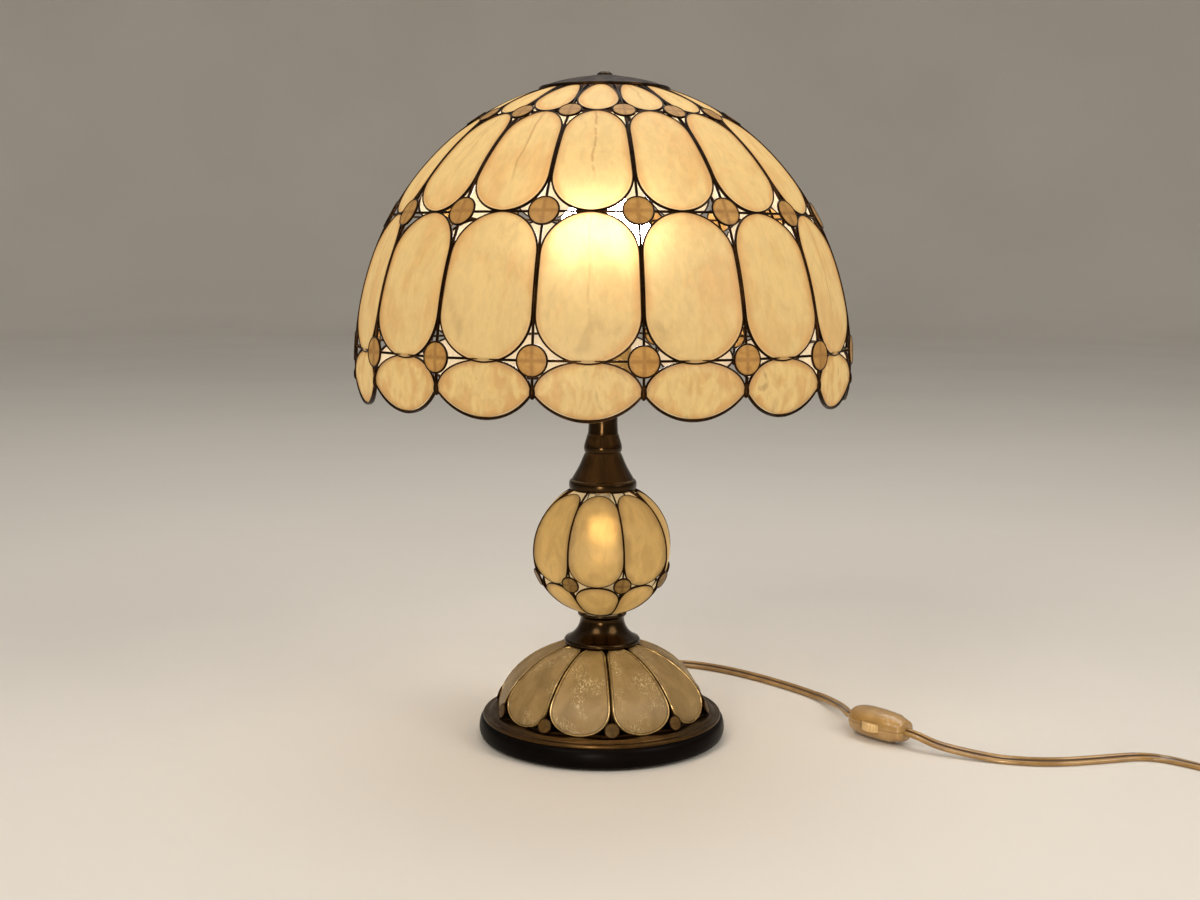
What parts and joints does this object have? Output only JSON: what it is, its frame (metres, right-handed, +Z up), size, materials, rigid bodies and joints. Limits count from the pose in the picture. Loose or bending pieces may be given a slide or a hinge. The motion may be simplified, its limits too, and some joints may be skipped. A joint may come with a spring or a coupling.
{
  "type": "table lamp",
  "caption": "Table lamp with a domed lattice shade of translucent shell panes, a lit globe below it, a domed base and a flat cord with an inline switch and plug.",
  "frame": {"origin": "middle of the footprint, on the surface that the lamp stands on", "axes": "+Z up, -Y towards the front, +X to the right"},
  "size_m": [0.6018, 0.3103, 0.4122],
  "materials": {
    "shell_pane": "thin translucent shell, cream to amber",
    "shell_rondel": "thin translucent shell, tan grey",
    "shell_base": "thin pearly shell, unlit",
    "bronze": "aged dark bronze",
    "bronze_wire": "dark bronze wire with worn edges",
    "base_black": "near-black satin",
    "felt": "felt",
    "steel": "plain",
    "brass_plain": "plain",
    "porcelain": "unglazed",
    "liner_card": "plain",
    "bulb_metal": "screw cap",
    "bulb_glass": "frosted",
    "holder_plastic": "plain",
    "cord_gold": "translucent gold",
    "switch_gold": "translucent gold",
    "wheel_pale": "pale"
  },
  "bodies": {
    "stand": {"base_felt": "felt", "base_body": "base_black", "base_flange": "bronze", "base_frame": "bronze_wire", "base_petals": "shell_base", "base_rondels": "shell_base", "rod": "steel", "rod_nut": "steel", "rod_washer": "steel", "collar": "bronze", "globe_foot_plate": "bronze", "globe_frame": "bronze_wire", "globe_petals": "shell_pane", "globe_ovals": "shell_pane", "globe_rondels": "shell_rondel", "globe_head_plate": "bronze", "globe_bracket": "steel", "bracket_nuts": "steel", "globe_lampholder": "holder_plastic", "globe_bulb": "bulb_glass", "neck": "bronze", "harp_saddle": "brass_plain", "harp_sleeves": "brass_plain", "harp_wire": "brass_plain", "harp_stud": "brass_plain", "lampholder_cup": "brass_plain", "lampholder_shell": "brass_plain", "lampholder_core": "porcelain", "lampholder_contact": "brass_plain", "lampholder_thread": "brass_plain", "lampholder_liner": "liner_card", "cord_bushing": "cord_gold", "cord_inside": "cord_gold", "switch_top_shell": "switch_gold", "switch_bottom_shell": "switch_gold", "switch_contacts": "brass_plain", "switch_screw": "steel", "cord_to_switch": "cord_gold", "cord_to_coil": "cord_gold", "cord_coil": "cord_gold", "cord_to_plug": "cord_gold", "plug_body": "switch_gold", "plug_blades": "brass_plain"},
    "bulb": {"bulb_cap": "bulb_metal", "bulb_glass": "bulb_glass"},
    "shade": {"shade_frame": "bronze_wire", "shade_panes_crown": "shell_pane", "shade_panes_upper": "shell_pane", "shade_panes_lower": "shell_pane", "shade_scallops": "shell_pane", "shade_rondels_a": "shell_rondel", "shade_rondels_b": "shell_rondel", "shade_rondels_c": "shell_rondel", "shade_cap": "bronze"},
    "finial": {"finial": "bronze"},
    "switch_wheel": {"switch_wheel": "wheel_pale"}
  },
  "joints": [
    {"name": "shade_lift", "type": "slide", "parent": "stand", "child": "shade", "axis": [0, 0, 1], "range_m": [0, 0.2]},
    {"name": "finial_turn", "type": "hinge", "parent": "shade", "child": "finial", "pos_m": [0, 0, 0.408], "axis": [0, 0, 1], "continuous": true},
    {"name": "bulb_unscrew", "type": "slide", "parent": "stand", "child": "bulb", "axis": [0, 0, 1], "range_m": [0, 0.027]},
    {"name": "switch_wheel_turn", "type": "hinge", "parent": "stand", "child": "switch_wheel", "pos_m": [0.17042, -0.01069, 0.0076], "axis": [0, 0, 1], "continuous": true}
  ]
}
